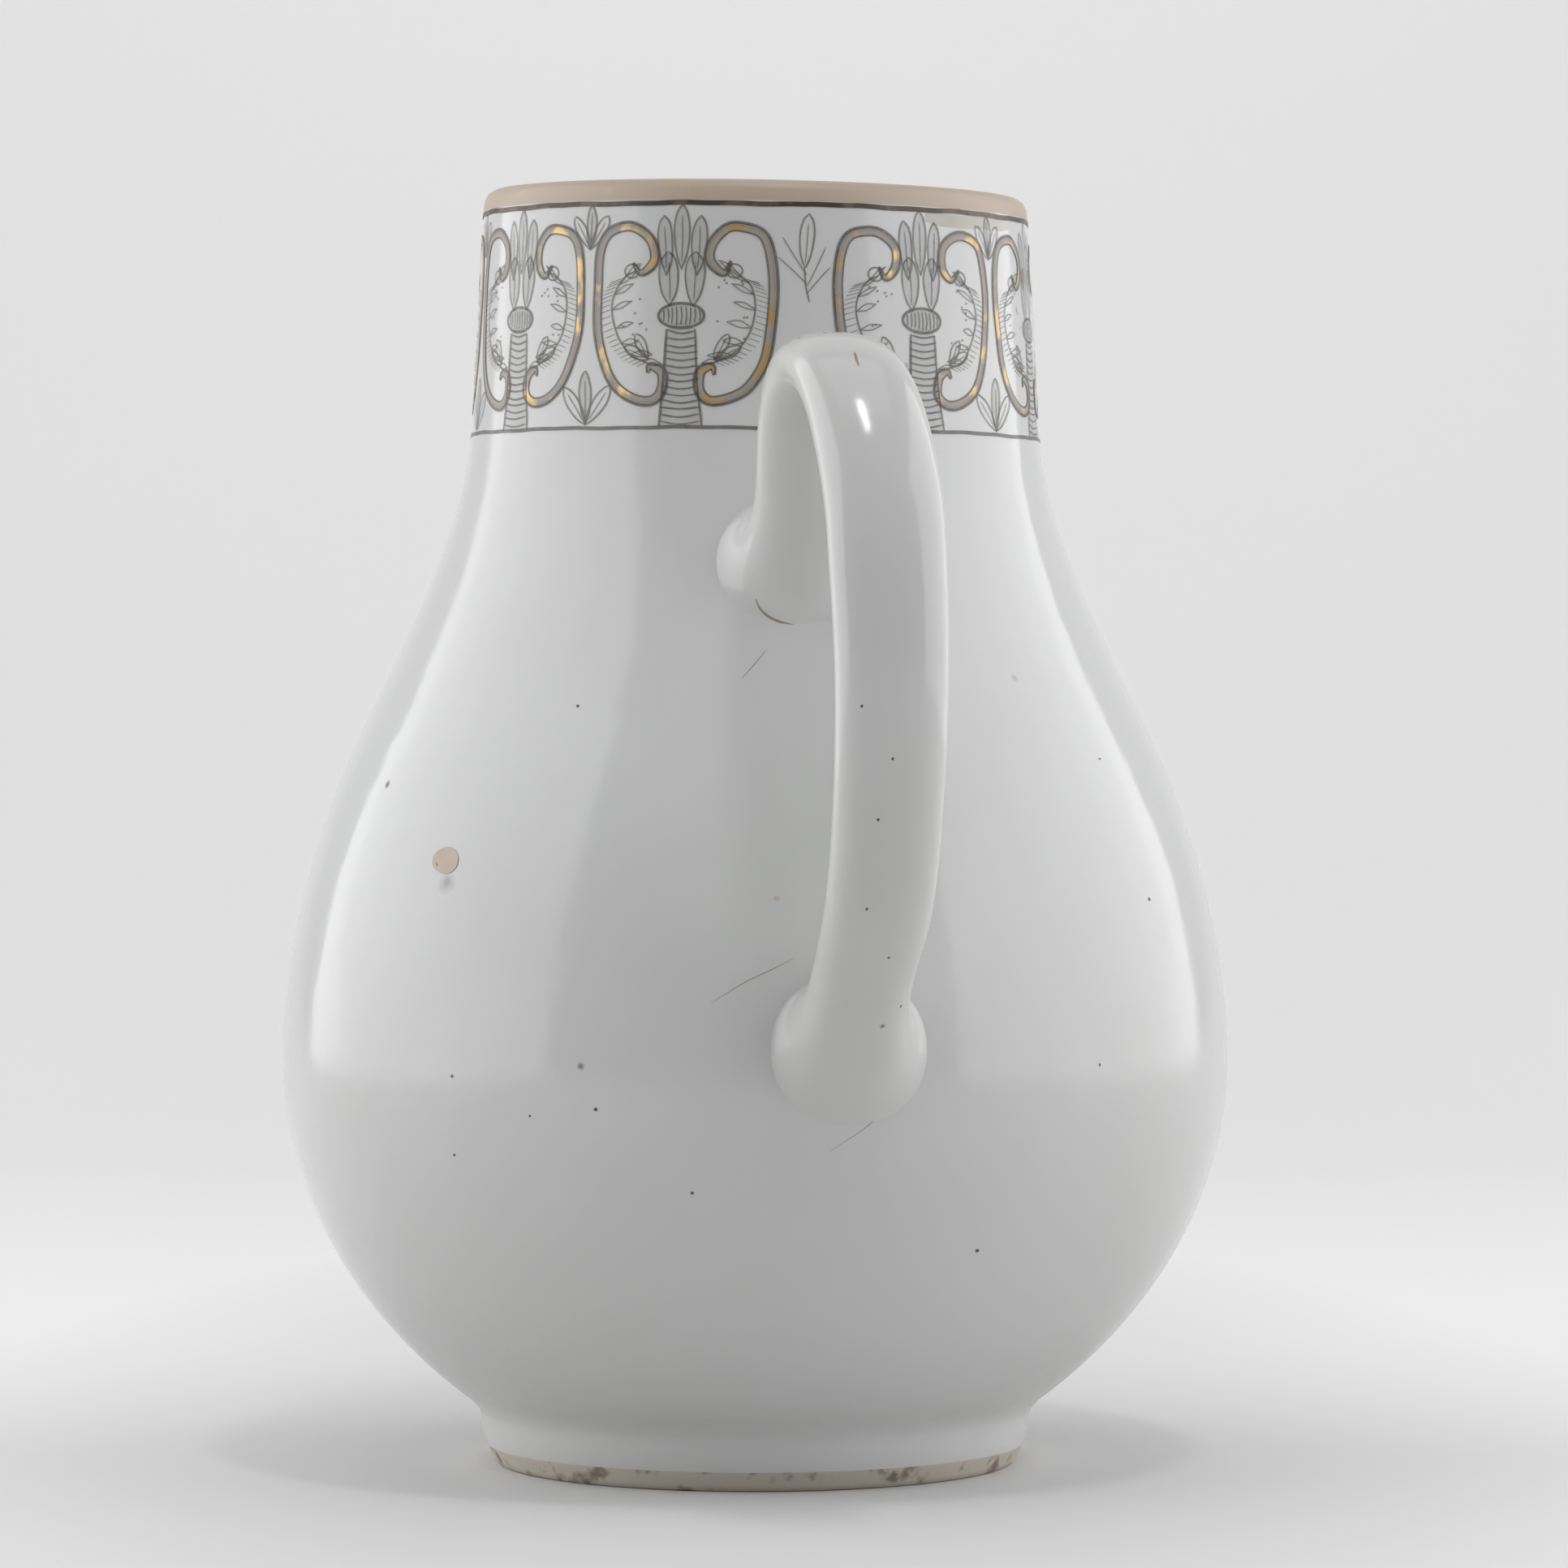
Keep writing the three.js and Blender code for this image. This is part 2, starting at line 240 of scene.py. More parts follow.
def sheet_material():
    material = bpy.data.materials.new("pale_sheet")
    material.use_nodes = True
    tree = material.node_tree
    tree.nodes.clear()
    matt = tree.nodes.new("ShaderNodeBsdfDiffuse")
    matt.inputs["Color"].default_value = MATT_TONE
    glow = tree.nodes.new("ShaderNodeEmission")
    glow.inputs["Color"].default_value = GLOW_TONE
    tree.links.new(glow_strength(tree), glow.inputs["Strength"])
    joined = tree.nodes.new("ShaderNodeAddShader")
    tree.links.new(matt.outputs[0], joined.inputs[0])
    tree.links.new(glow.outputs[0], joined.inputs[1])
    output = tree.nodes.new("ShaderNodeOutputMaterial")
    tree.links.new(joined.outputs[0], output.inputs["Surface"])
    return material


sheet.data.materials.append(sheet_material())
print("sheet nodes", len(sheet.data.materials[0].node_tree.nodes))

# %% [markdown]
# Old glaze is never one flat colour. Two effects are shared by all finishes here: a slow change of
# tone with tiny iron specks, and the worn patches of gilding and paint. Each is a node group that
# gives masks and a height, so that every material can use it with its own amounts.

# %% Shared effects
def new_group(name, sockets_in, sockets_out):
    group = bpy.data.node_groups.new(name, "ShaderNodeTree")
    for label, value in sockets_in.items():
        socket = group.interface.new_socket(label, in_out="INPUT", socket_type="NodeSocketFloat")
        socket.default_value = value
    for label in sockets_out:
        group.interface.new_socket(label, in_out="OUTPUT", socket_type="NodeSocketFloat")
    return group, group.nodes.new("NodeGroupInput"), group.nodes.new("NodeGroupOutput")


def ramp(nodes, links, source, low, high):
    node = nodes.new("ShaderNodeMapRange")
    node.interpolation_type = "SMOOTHSTEP"
    node.inputs["From Min"].default_value = low
    node.inputs["From Max"].default_value = high
    links.new(source, node.inputs["Value"])
    return node.outputs["Result"]


def glaze_tone_group():
    group, entry, out = new_group(
        "glaze_tone", {"Tone Scale": 18, "Speck Scale": 260, "Ripple Scale": 90}, ["Tone", "Specks", "Ripple"]
    )
    nodes, links = group.nodes, group.links
    place = nodes.new("ShaderNodeTexCoord")
    slow = nodes.new("ShaderNodeTexNoise")
    slow.inputs["Detail"].default_value = 4
    fine = nodes.new("ShaderNodeTexNoise")
    fine.inputs["Detail"].default_value = 3
    dots = nodes.new("ShaderNodeTexVoronoi")
    few = nodes.new("ShaderNodeTexWhiteNoise")
    few.noise_dimensions = "3D"
    for node, label in ((slow, "Tone Scale"), (dots, "Speck Scale"), (fine, "Ripple Scale")):
        links.new(place.outputs["Object"], node.inputs["Vector"])
        links.new(entry.outputs[label], node.inputs["Scale"])
    links.new(dots.outputs["Position"], few.inputs["Vector"])
    near = ramp(nodes, links, dots.outputs["Distance"], 0.16, 0.05)
    chosen = ramp(nodes, links, few.outputs["Value"], 0.975, 0.98)
    specks = math_node(group, "MULTIPLY", near, chosen)
    links.new(ramp(nodes, links, slow.outputs["Fac"], 0.35, 0.68), out.inputs["Tone"])
    links.new(specks, out.inputs["Specks"])
    links.new(fine.outputs["Fac"], out.inputs["Ripple"])
    return group


def wear_group():
    group, entry, out = new_group("worn_patches", {"Patch Scale": 500, "Amount": 0.5}, ["Worn", "Grain"])
    nodes, links = group.nodes, group.links
    place = nodes.new("ShaderNodeTexCoord")
    patches = nodes.new("ShaderNodeTexNoise")
    patches.inputs["Detail"].default_value = 6
    links.new(place.outputs["Object"], patches.inputs["Vector"])
    links.new(entry.outputs["Patch Scale"], patches.inputs["Scale"])
    limit = math_node(group, "SUBTRACT", entry.outputs["Amount"], patches.outputs["Fac"])
    links.new(ramp(nodes, links, limit, -0.06, 0.08), out.inputs["Worn"])
    links.new(patches.outputs["Fac"], out.inputs["Grain"])
    return group


GLAZE_TONE = glaze_tone_group()
WORN = wear_group()
print("node groups", len(bpy.data.node_groups))

# %% [markdown]
# A material starts from the Principled shader. Its steady numbers are set on the shader itself,
# and only what changes over the surface comes in through nodes.

# %% Material helpers
def new_material(name, color, roughness):
    material = bpy.data.materials.new(name)
    material.use_nodes = True
    shader = material.node_tree.nodes["Principled BSDF"]
    shader.inputs["Base Color"].default_value = (*color, 1)
    shader.inputs["Roughness"].default_value = roughness
    return material, material.node_tree, shader


def add_group(tree, group, **values):
    node = tree.nodes.new("ShaderNodeGroup")
    node.node_tree = group
    for label, value in values.items():
        node.inputs[label.replace("_", " ")].default_value = value
    return node


def blend_colors(tree, mask, first, second):
    node = tree.nodes.new("ShaderNodeMix")
    node.data_type = "RGBA"
    tree.links.new(mask, node.inputs["Factor"])
    for socket, value in ((node.inputs["A"], first), (node.inputs["B"], second)):
        if isinstance(value, tuple):
            socket.default_value = (*value, 1)
        else:
            tree.links.new(value, socket)
    return node.outputs["Result"]


def add_bump(tree, shader, height, distance):
    bump = tree.nodes.new("ShaderNodeBump")
    bump.inputs["Distance"].default_value = distance
    bump.inputs["Strength"].default_value = 1
    tree.links.new(height, bump.inputs["Height"])
    tree.links.new(bump.outputs["Normal"], shader.inputs["Normal"])


def map_value(tree, source, low, high):
    node = tree.nodes.new("ShaderNodeMapRange")
    node.inputs["To Min"].default_value = low
    node.inputs["To Max"].default_value = high
    tree.links.new(source, node.inputs["Value"])
    return node.outputs["Result"]


# %% [markdown]
# The glaze is a cool greyish white with a faintly greenish tone where it lies thick. Its surface
# has a soft ripple, like orange peel, and a few iron specks.

# %% Glaze
def glaze_material(name, thin, thick, speck_scale):
    material, tree, shader = new_material(name, thin, 0.12)
    tone = add_group(tree, GLAZE_TONE, Tone_Scale=22, Speck_Scale=speck_scale, Ripple_Scale=110)
    base = blend_colors(tree, tone.outputs["Tone"], thin, thick)
    specked = blend_colors(tree, tone.outputs["Specks"], base, (0.10, 0.065, 0.045))
    tree.links.new(specked, shader.inputs["Base Color"])
    tree.links.new(map_value(tree, tone.outputs["Tone"], 0.10, 0.19), shader.inputs["Roughness"])
    add_bump(tree, shader, tone.outputs["Ripple"], 0.00012)
    return material


GLAZE = glaze_material("greyish_white_glaze", (0.665, 0.67, 0.665), (0.62, 0.63, 0.615), 300)
HANDLE_GLAZE = glaze_material("handle_glaze", (0.66, 0.662, 0.655), (0.615, 0.62, 0.605), 420)

# %% [markdown]
# The foot's edge was wiped clean of glaze before firing. It fired beige, and dirt sits in it.

# %% Bare clay and dirt
CLAY_TONE = (0.55, 0.50, 0.43)
DIRT_TONE = (0.24, 0.19, 0.15)


def bare_clay_material():
    material, tree, shader = new_material("bare_foot_clay", CLAY_TONE, 0.75)
    dirt = add_group(tree, WORN, Patch_Scale=420, Amount=0.40)
    tone = blend_colors(tree, dirt.outputs["Worn"], CLAY_TONE, DIRT_TONE)
    tree.links.new(tone, shader.inputs["Base Color"])
    add_bump(tree, shader, dirt.outputs["Grain"], 0.0001)
    return material


BARE = bare_clay_material()

# %% [markdown]
# The rim was gilt. The gold has worn to a pinkish beige with a few bright places left.

# %% Gilding
def gilt_material(name, amount, worn_color, gold_color, scale):
    material, tree, shader = new_material(name, worn_color, 0.35)
    wear = add_group(tree, WORN, Patch_Scale=scale, Amount=amount)
    tone = blend_colors(tree, wear.outputs["Worn"], gold_color, worn_color)
    tree.links.new(tone, shader.inputs["Base Color"])
    tree.links.new(map_value(tree, wear.outputs["Worn"], 0.55, 0.0), shader.inputs["Metallic"])
    tree.links.new(map_value(tree, wear.outputs["Worn"], 0.28, 0.42), shader.inputs["Roughness"])
    add_bump(tree, shader, wear.outputs["Grain"], 0.00003)
    return material


RIM_GILT = gilt_material("worn_rim_gilding", 0.70, (0.50, 0.405, 0.325), (0.60, 0.44, 0.24), 260)
SCROLL_GILT = gilt_material("worn_scroll_gilding", 0.58, (0.36, 0.325, 0.29), (0.66, 0.45, 0.20), 420)

# %% [markdown]
# The border is painted in a thin dark enamel, drawn with a fine brush, and washed in grey.
# Strokes are darker where the brush paused, so their colour varies. Stains, hairlines and the grey
# of a dimple in the glaze are as thin and uneven as a wash, so they share this material's build.
# The dimple's grey is painted shade, put where its hollow lies in shadow.

# %% Paint
def paint_material(name, dark, light, alpha_low, alpha_high):
    material, tree, shader = new_material(name, dark, 0.3)
    wear = add_group(tree, WORN, Patch_Scale=420, Amount=0.5)
    tree.links.new(blend_colors(tree, wear.outputs["Worn"], dark, light), shader.inputs["Base Color"])
    tree.links.new(map_value(tree, wear.outputs["Grain"], alpha_high, alpha_low), shader.inputs["Alpha"])
    return material


INK = paint_material("dark_enamel_line", (0.07, 0.062, 0.056), (0.17, 0.155, 0.14), 0.25, 1.0)
RIM_INK = paint_material("brown_rim_line", (0.055, 0.036, 0.024), (0.15, 0.10, 0.065), 0.75, 1.0)
WASH = paint_material("grey_wash", (0.30, 0.295, 0.29), (0.42, 0.415, 0.41), 0.02, 0.36)
# Painted shade: faint grey dabs stand in for the shadow in the dimple's hollow
DIMPLE_SHADE = paint_material("painted_dimple_shade", (0.40, 0.40, 0.39), (0.5, 0.5, 0.49), 0.0, 0.12)
HAIRLINE = paint_material("brown_hairline", (0.22, 0.11, 0.07), (0.36, 0.22, 0.16), 0.25, 0.8)
STAIN = paint_material("yellowish_stain", (0.42, 0.33, 0.20), (0.5, 0.42, 0.3), 0.05, 0.40)

# %% [markdown]
# The outline of the body, from the middle of the underside, round the foot, up the outside, over
# the lip and down inside to the floor. Curves follow the same driving sizes as the solids.

# %% Body outline
HEIGHT = 115.0
FOOT_RADIUS = 24.9
FOOT_EDGE_RADIUS = 23.4
FOOT_HEIGHT = 5.2
BELLY_RADIUS = 42.6
BELLY_HEIGHT = 36.6
SHOULDER_RADIUS = 34.7
SHOULDER_HEIGHT = 67.8
SHOULDER_SLOPE = 0.49
NECK_RADIUS = 25.6
NECK_HEIGHT = 94.0
RIM_RADIUS = 24.5
BELLY_WALL = 4.2
NECK_WALL = 3.0
FOOT_RING_WIDTH = 3.2
FOOT_ROOF = 4.0
FLOOR_HEIGHT = 9.0
GILT_EDGE = HEIGHT - 2.0


def bezier(a, b, c, d, steps, first=False):
    points = []
    for i in range(0 if first else 1, steps + 1):
        t = i / steps
        s = 1 - t
        weights = (s * s * s, 3 * s * s * t, 3 * s * t * t, t * t * t)
        points.append(tuple(sum(w * p[k] for w, p in zip(weights, (a, b, c, d))) for k in (0, 1)))
    return points


def outer_outline():
    rise = BELLY_HEIGHT - FOOT_HEIGHT
    spread = BELLY_RADIUS - FOOT_RADIUS
    lift = (SHOULDER_HEIGHT - BELLY_HEIGHT) * 0.29
    reach = (NECK_HEIGHT - SHOULDER_HEIGHT) * 0.34
    belly = bezier(
        (FOOT_RADIUS, FOOT_HEIGHT),
        (FOOT_RADIUS + spread * 0.45, FOOT_HEIGHT + rise * 0.175),
        (BELLY_RADIUS, BELLY_HEIGHT - rise * 0.48),
        (BELLY_RADIUS, BELLY_HEIGHT),
        26,
    )
    shoulder = bezier(
        (BELLY_RADIUS, BELLY_HEIGHT),
        (BELLY_RADIUS, BELLY_HEIGHT + lift * 1.27),
        (SHOULDER_RADIUS + SHOULDER_SLOPE * lift, SHOULDER_HEIGHT - lift),
        (SHOULDER_RADIUS, SHOULDER_HEIGHT),
        20,
    )
    neck = bezier(
        (SHOULDER_RADIUS, SHOULDER_HEIGHT),
        (SHOULDER_RADIUS - SHOULDER_SLOPE * reach, SHOULDER_HEIGHT + reach),
        (NECK_RADIUS + 0.6, NECK_HEIGHT - reach),
        (NECK_RADIUS, NECK_HEIGHT),
        18,
    )
    straight = [
        (NECK_RADIUS + (RIM_RADIUS - NECK_RADIUS) * (z - NECK_HEIGHT) / (HEIGHT - NECK_HEIGHT), z)
        for z in [NECK_HEIGHT + (GILT_EDGE - NECK_HEIGHT) * i / 12 for i in range(1, 13)]
    ]
    return belly + shoulder + neck + straight


OUTER = outer_outline()


def outer_radius(z):
    below = (FOOT_RADIUS, FOOT_HEIGHT)
    for point in OUTER:
        if point[1] >= z:
            share = (z - below[1]) / max(point[1] - below[1], 1e-6)
            return below[0] + (point[0] - below[0]) * share
        below = point
    return RIM_RADIUS


def wall_at(z):
    share = min(max((z - BELLY_HEIGHT) / (NECK_HEIGHT - BELLY_HEIGHT), 0), 1)
    return BELLY_WALL + (NECK_WALL - BELLY_WALL) * share


def full_outline():
    inner_foot = FOOT_RADIUS - FOOT_RING_WIDTH
    under = [(0.0, FOOT_ROOF), (10.0, FOOT_ROOF), (inner_foot - 1.2, FOOT_ROOF - 0.1)]
    under += [(inner_foot - 0.3, FOOT_ROOF - 0.5), (inner_foot, FOOT_ROOF - 1.2), (inner_foot + 0.1, 1.4)]
    edge = [(inner_foot + 0.3, 0.4), (inner_foot + 0.7, 0.05), (FOOT_EDGE_RADIUS - 0.4, 0.0)]
    edge += [(FOOT_EDGE_RADIUS, 0.12), (FOOT_EDGE_RADIUS + 0.35, 0.6), (FOOT_EDGE_RADIUS + 0.75, 1.45)]
    foot = [(FOOT_EDGE_RADIUS + 0.95, 1.8), (FOOT_RADIUS - 0.3, 2.7), (FOOT_RADIUS - 0.15, 3.8)]
    foot += [(FOOT_RADIUS - 0.05, 4.5), (FOOT_RADIUS + 0.15, 5.0)]
    lip = [(RIM_RADIUS, HEIGHT - 1.0), (RIM_RADIUS - 0.3, HEIGHT - 0.4), (RIM_RADIUS - 0.85, HEIGHT - 0.05)]
    lip += [(RIM_RADIUS - 1.5, HEIGHT), (RIM_RADIUS - 2.1, HEIGHT - 0.08), (RIM_RADIUS - 2.7, HEIGHT - 0.45)]
    lip += [(RIM_RADIUS - 3.0, HEIGHT - 1.1), (RIM_RADIUS - 3.0, HEIGHT - 2.2)]
    inside = [(r - wall_at(z), z) for r, z in reversed(OUTER) if BELLY_HEIGHT < z < HEIGHT - 3]
    inner = BELLY_RADIUS - BELLY_WALL
    drop = BELLY_HEIGHT - FLOOR_HEIGHT
    bowl = bezier(
        (inner, BELLY_HEIGHT),
        (inner, BELLY_HEIGHT - drop * 0.6),
        (inner * 0.66, FLOOR_HEIGHT),
        (0.0, FLOOR_HEIGHT),
        26,
        first=True,
    )
    return under, edge, foot, lip, inside, bowl


# %% [markdown]
# The beak is two flat sides that leave the neck as tangents and meet at a rounded keel. A point on
# the skin is found from its angle round the axis, so the neck runs into the beak without a seam.
# The thrown jug is not quite true either: its rim leans and dips a little towards the handle.

# %% Where a point of the skin lies
SPOUT_BASE = 84.0
SPOUT_TIP = RIM_RADIUS + 12.0
KEEL_SOFTNESS = 0.035
RIM_LEAN = 0.3
RIM_DIP = 1.1


def beak_factor(angle, z):
    if z <= SPOUT_BASE:
        return 1.0
    radius = outer_radius(z)
    share = (z - SPOUT_BASE) / (HEIGHT - SPOUT_BASE)
    keel = radius + (SPOUT_TIP - radius) * share ** 1.33
    seat = math.acos(radius / max(keel, radius + 1e-6))
    turn = abs(angle % (2 * math.pi) - math.pi)
    turn = math.hypot(turn, KEEL_SOFTNESS) - KEEL_SOFTNESS * 0.2
    return 1 / math.cos(seat - turn) if turn < seat else 1.0


def settle(angle, z):
    top = (z / HEIGHT) ** 4
    lean = RIM_LEAN * (1 + math.sin(angle)) * (z / HEIGHT) ** 2
    dip = RIM_DIP * (1 + math.cos(angle)) / 2 * top
    return z - lean - dip


def trueness(angle, z):
    """The thrown body is a little out of round."""
    return 1 - 0.0016 * (1 + math.sin(2 * angle + z * 0.05))


def on_outline(radius, z, angle):
    reach = radius * beak_factor(angle, z) * trueness(angle, z) * MM
    return Vector((AXIS_X + reach * math.cos(angle), reach * math.sin(angle), settle(angle, z) * MM))


def skin_point(angle, z, lift=0.0):
    return on_outline(outer_radius(z) + lift, z, angle)


# %% [markdown]
# The skin itself: the outline is turned in small steps round the axis, and each band of faces gets
# the finish of its place, glaze, bare foot edge or gilt lip.

# %% Body skin
TURNS = 256


def body_mesh(mesh):
    under, edge, foot, lip, inside, bowl = full_outline()
    outline = under + edge + foot + OUTER + lip + inside + bowl
    finish = [0] * len(under) + [1] * len(edge) + [0] * (len(foot) + len(OUTER) - 1) + [2] * len(lip)
    finish += [0] * (len(inside) + len(bowl) + 1)
    bm = bmesh.new()
    rings = []
    for radius, z in outline:
        if radius == 0:
            rings.append([bm.verts.new((AXIS_X, 0, z * MM))])
            continue
        ring = []
        for j in range(TURNS):
            ring.append(bm.verts.new(on_outline(radius, z, 2 * math.pi * j / TURNS)))
        rings.append(ring)
    for i in range(len(rings) - 1):
        low, high = rings[i], rings[i + 1]
        for j in range(TURNS):
            k = (j + 1) % TURNS
            if len(low) == 1:
                face = bm.faces.new((low[0], high[j], high[k]))
            elif len(high) == 1:
                face = bm.faces.new((low[j], low[k], high[0]))
            else:
                face = bm.faces.new((low[j], low[k], high[k], high[j]))
            face.material_index = finish[i]
    bmesh.ops.recalc_face_normals(bm, faces=bm.faces)
    bm.to_mesh(mesh)
    bm.free()


body = make_object("glazed_body", body_mesh)
for material in (GLAZE, BARE, RIM_GILT):
    body.data.materials.append(material)
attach(body, "root")
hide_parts("foot_ring", "lower_body", "belly_luting", "upper_body", "spout")
print("body faces", len(body.data.polygons))

# %% [markdown]
# The handle is a strap, wider than it is thick, that rises from the shoulder, turns over and comes
# down to the belly. At both ends it was pressed and smoothed onto the body, so it spreads there.

# %% Handle
upper_r = outer_radius(80.0)
HANDLE_REACH = 60.0
HANDLE_TOP = 96.5
HANDLE_LINE = [
    (upper_r - 2.5, 78.5),
    (upper_r + 3, 84.5),
    (upper_r + 8, HANDLE_TOP - 3.4),
    (upper_r + 15, HANDLE_TOP),
    (HANDLE_REACH - 8, HANDLE_TOP - 3),
    (HANDLE_REACH - 1.8, HANDLE_TOP - 12),
    (HANDLE_REACH, HANDLE_TOP - 22),
    (HANDLE_REACH - 1.2, HANDLE_TOP - 34),
    (HANDLE_REACH - 5, HANDLE_TOP - 44),
    (BELLY_RADIUS + 5.5, 46.0),
    (BELLY_RADIUS + 1.2, 40.8),
    (BELLY_RADIUS - 2.5, 37.0),
]
HANDLE_RINGS = 220
HANDLE_SIDES = 56
STRAP_HALF_DEPTH = 2.65
FILLET_LENGTH = 8.5
UPPER_SPREAD = 4.6
LOWER_SPREAD = 4.0
END_SINK = 0.15


def between_four(a, b, c, d, t):
    """A value between b and c on a smooth line through all four."""
    bend = 2 * a - 5 * b + 4 * c - d
    twist = 3 * b - a - 3 * c + d
    return 0.5 * (2 * b + (c - a) * t + bend * t * t + twist * t**3)


def through(points, steps):
    """Points along a smooth line through the given ones."""
    made = []
    ends = [tuple(2 * a - b for a, b in zip(points[0], points[1]))]
    ends += list(points)
    ends.append(tuple(2 * a - b for a, b in zip(points[-1], points[-2])))
    spans = len(points) - 1
    for i in range(steps + 1):
        place = min(i / steps * spans, spans - 1e-9)
        k = int(place)
        t = place - k
        p0, p1, p2, p3 = ends[k : k + 4]
        made.append(tuple(between_four(a, b, c, d, t) for a, b, c, d in zip(p0, p1, p2, p3)))
    return made


def between_values(table, share):
    """The value at a share of the way, from a few (share, value) pairs."""
    for (a, low), (b, high) in zip(table, table[1:]):
        if share <= b:
            step = (share - a) / (b - a)
            step = step * step * (3 - 2 * step)
            return low + (high - low) * step
    return table[-1][1]


# Half the strap's width, and how far the strap strays sideways, along the handle
STRAP_HALF_WIDTH = ((0, 4.0), (0.2, 4.65), (0.45, 4.9), (0.7, 4.5), (0.9, 4.05), (1, 3.9))
STRAP_STRAY = ((0, -1.3), (0.22, -1.75), (0.48, 0.1), (0.6, 0.4), (1, 0.4))


STRAP_LINE = through(HANDLE_LINE, 1200)
SPREAD = ((0, UPPER_SPREAD), (1, LOWER_SPREAD))


def strap_middle(share):
    """The middle of the strap at a share of its length."""
    place = min(max(share, 0), 0.9999) * (len(STRAP_LINE) - 1)
    k = int(place)
    (r, z), (r_next, z_next) = STRAP_LINE[k], STRAP_LINE[k + 1]
    step = place - k
    return Vector((r + (r_next - r) * step, between_values(STRAP_STRAY, share), z + (z_next - z) * step))


def strap_point(share, turn):
    """A point of the strap's skin."""
    along = (strap_middle(share + 0.004) - strap_middle(share - 0.004)).normalized()
    across = Vector((0, 1, 0))
    out = along.cross(across).normalized()
    half_width = between_values(STRAP_HALF_WIDTH, share)
    c, s = math.cos(turn), math.sin(turn)
    side = math.copysign(abs(c) ** 0.85, c) * half_width
    depth = math.copysign(abs(s) ** 0.92, s) * STRAP_HALF_DEPTH
    return strap_middle(share) + across * side + out * depth


def off_skin(point):
    """How far a point lies off the body's skin, and the skin's normal there."""
    angle = math.atan2(point.y, point.x)
    z = 2 * point.z - settle(angle, point.z)
    reach = math.hypot(point.x, point.y)
    slope = outer_radius(z + 0.5) - outer_radius(z - 0.5)
    normal = Vector((point.x / reach, point.y / reach, -slope)).normalized()
    return (reach - outer_radius(z) * trueness(angle, z)) * normal.xy.length, normal


def landing(turn, outside, inside):
    """The share of the length at which one side of the strap meets the body."""
    for _ in range(30):
        middle_share = (outside + inside) / 2
        if off_skin(strap_point(middle_share, turn))[0] > 0:
            outside = middle_share
        else:
            inside = middle_share
    return outside


def middle_landing(outside, inside):
    """Where the middle of the strap meets the body."""
    for _ in range(30):
        share = (outside + inside) / 2
        if off_skin(strap_middle(share))[0] > 0:
            outside = share
        else:
            inside = share
    return strap_middle(outside)


LANDINGS = (middle_landing(0.16, 0.0), middle_landing(0.84, 1.0))


def filleted(share, turn):
    """A point of the strap, spread near the body, so that the strap lands there in a hollow curve."""
    point = strap_point(share, turn)
    distance, normal = off_skin(point)
    if distance >= FILLET_LENGTH:
        return point
    near = 1 - max(distance, 0) / FILLET_LENGTH
    spread = between_values(SPREAD, share) * (1 - max(1 - near * near, 0) ** (1 / 3))
    flat = point - LANDINGS[0 if share < 0.5 else 1]
    flat -= normal * flat.dot(normal)
    flat /= max(flat.length, 2.0)
    moved = point + flat * spread
    distance_now, normal = off_skin(moved)
    return moved - normal * (distance_now - max(distance, 0) + END_SINK * near**6)


def handle_mesh(mesh):
    turns = [2 * math.pi * j / HANDLE_SIDES for j in range(HANDLE_SIDES)]
    starts = [landing(turn, 0.16, 0.0) for turn in turns]
    ends = [landing(turn, 0.84, 1.0) for turn in turns]
    bm = bmesh.new()
    rings = []
    for i in range(HANDLE_RINGS + 1):
        ease = 0.5 - 0.5 * math.cos(math.pi * i / HANDLE_RINGS)
        ring = []
        for turn, start, end in zip(turns, starts, ends):
            point = filleted(start + (end - start) * ease, turn)
            ring.append(bm.verts.new((AXIS_X + point.x * MM, point.y * MM, point.z * MM)))
        rings.append(ring)
    for low, high in zip(rings, rings[1:]):
        for j in range(HANDLE_SIDES):
            k = (j + 1) % HANDLE_SIDES
            bm.faces.new((low[j], low[k], high[k], high[j]))
    for ring, share in ((rings[0], 0.0), (rings[-1], 1.0)):
        centre = strap_middle(share) * MM + axis_point
        plug = [bm.verts.new(vert.co.lerp(centre, 0.5)) for vert in ring]
        for j in range(HANDLE_SIDES):
            k = (j + 1) % HANDLE_SIDES
            bm.faces.new((ring[j], plug[j], plug[k], ring[k]))
        bm.faces.new(plug)
    bmesh.ops.recalc_face_normals(bm, faces=bm.faces)
    bm.to_mesh(mesh)
    bm.free()


handle = make_object("glazed_handle", handle_mesh)
handle.data.materials.append(HANDLE_GLAZE)
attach(handle, "root")
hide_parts("handle", "handle_upper_luting", "handle_lower_luting")
print("handle faces", len(handle.data.polygons))

# %% [markdown]
# The border is drawn in a flat plane, along the neck and up from the base line, in millimetres.
# A brush stroke is a thin ribbon on the glaze that swells in its middle and thins at its ends.
# Ribbons of one paint share one mesh.

# %% Brush strokes
BORDER_BASE = 92.7
BORDER_RADIUS = 24.9
PAINT_LIFT = {"wash": 0.03, "gilt": 0.045, "ink": 0.06}
strokes = {"wash": ([], []), "gilt": ([], []), "ink": ([], []), "rim_ink": ([], []), "stain": ([], [])}


def place_on_neck(along, up, lift):
    return skin_point(along / BORDER_RADIUS, BORDER_BASE + up, lift)


def end_swell(share):
    """One along most of a stroke, and towards nothing at its ends."""
    return min(1, 0.05 + 3 * math.sin(math.pi * share))


